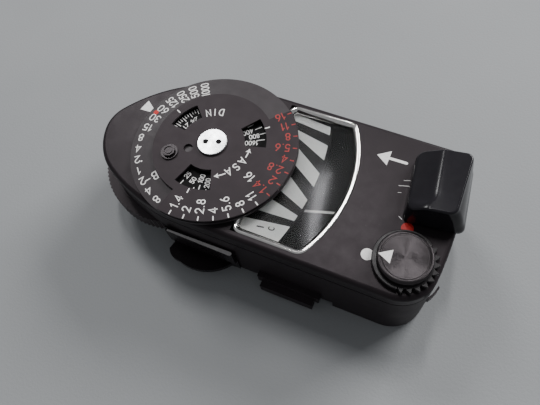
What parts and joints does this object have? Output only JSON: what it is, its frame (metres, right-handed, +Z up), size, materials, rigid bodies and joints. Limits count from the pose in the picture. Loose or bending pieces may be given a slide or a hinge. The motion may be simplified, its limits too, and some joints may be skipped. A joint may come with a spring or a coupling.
{
  "type": "handheld light meter",
  "caption": "Shoe-mounted light meter: black teardrop body with a calculator dial, a chrome-framed needle window, a measuring slide switch, a range knob and a geared coupling wheel.",
  "frame": {"origin": "centre of the shoe foot's underside, on the plane that the meter rests on", "axes": "+Z up through the dial, +X from the dial to the measuring switch, -Y towards the photocell side"},
  "size_m": [0.0829, 0.041, 0.0277],
  "materials": {
    "cover_black": "satin",
    "housing_black": "satin",
    "dial_black": "satin",
    "knob_black": "black anodised",
    "switch_black": "gloss",
    "chrome": "polished",
    "bright_metal": "spun",
    "glass": "clear",
    "lane_white": "satin",
    "inner_black": "matt",
    "steel": "ground",
    "brass": "machined",
    "copper": "enamelled wire",
    "needle_white": "painted",
    "board": "phenolic",
    "component": "satin",
    "cell": "glazed",
    "battery": "plated"
  },
  "bodies": {
    "housing": {"top_cover": "cover_black", "bottom_housing": "housing_black", "cover_screws": "steel", "shoe_foot": "housing_black", "foot_screws": "steel", "cell_hood": "cover_black", "cell_window": "glass", "photocell": "cell", "window_frame": "chrome", "window_glass": "glass", "lane_plate": "lane_white", "backing_plate": "inner_black", "dial_spindle": "steel", "wheel_bush": "brass", "gear_bridge": "brass", "bridge_screws": "steel", "corner_lug": "cover_black", "knob_washer": "steel", "circuit_board": "board", "resistors": "component", "trimmer": "component", "switch_contacts": "inner_black", "battery_chamber": "housing_black", "battery_cell": "battery", "battery_contact": "steel", "movement_base": "bright_metal", "movement_yoke": "steel", "movement_core": "steel", "movement_bridge": "bright_metal", "hairspring": "brass", "return_spring": "steel"},
    "dial": {"dial_hub": "brass", "dial_gear": "brass", "speed_dial": "dial_black", "film_speed_scale": "dial_black", "centre_screw": "bright_metal"},
    "aperture": {"aperture_dial": "dial_black", "stud_collar": "dial_black", "stud_spring": "steel"},
    "lock": {"lock_stud": "dial_black"},
    "wheel": {"coupling_wheel": "knob_black", "wheel_shaft": "steel", "wheel_pinion": "brass", "coupling_pin": "steel"},
    "switch": {"switch_slider": "switch_black", "slide_plate": "inner_black", "switch_screws": "steel"},
    "knob": {"range_knob": "knob_black", "knob_shaft": "steel", "range_wiper": "inner_black"},
    "needle": {"needle": "needle_white", "needle_arbor": "steel", "moving_coil": "copper"},
    "battery_cap": {"battery_cover": "knob_black"}
  },
  "joints": [
    {"name": "wheel_turn", "type": "hinge", "parent": "housing", "child": "wheel", "pos_m": [-0.0355, 0, 0.01], "axis": [0, 0, 1], "continuous": true},
    {"name": "dial_turn", "type": "hinge", "parent": "housing", "child": "dial", "pos_m": [-0.024, 0, 0.0215], "axis": [0, 0, 1], "continuous": true},
    {"name": "film_speed_turn", "type": "hinge", "parent": "dial", "child": "aperture", "pos_m": [-0.024, 0, 0.0225], "axis": [0, 0, 1], "range_deg": [-49, 49]},
    {"name": "lock_press", "type": "slide", "parent": "aperture", "child": "lock", "axis": [0, 0, -1], "range_m": [0, 0.0004], "stiffness_N_per_m": 100, "springref_m": -0.002, "deforming": ["stud_spring"]},
    {"name": "switch_slide", "type": "slide", "parent": "housing", "child": "switch", "axis": [-1, 0, 0], "range_m": [0, 0.0035], "stiffness_N_per_m": 150, "springref_m": -0.003, "deforming": ["return_spring"]},
    {"name": "knob_turn", "type": "hinge", "parent": "housing", "child": "knob", "pos_m": [0.021, -0.0103, 0.021], "axis": [0, 0, 1], "range_deg": [-83, 0]},
    {"name": "needle_swing", "type": "hinge", "parent": "housing", "child": "needle", "pos_m": [0.01895, 0, 0.013], "axis": [0, 0, 1], "range_deg": [-50, 12], "stiffness_Nm_per_rad": 0.000002, "deforming": ["hairspring"]},
    {"name": "battery_cap_turn", "type": "hinge", "parent": "housing", "child": "battery_cap", "pos_m": [0.01895, 0, 0.0008], "axis": [0, 0, 1], "range_deg": [-60, 0]}
  ],
  "couplings": [
    {"joint": "dial_turn", "follows": "wheel_turn", "ratio": -0.39394}
  ]
}
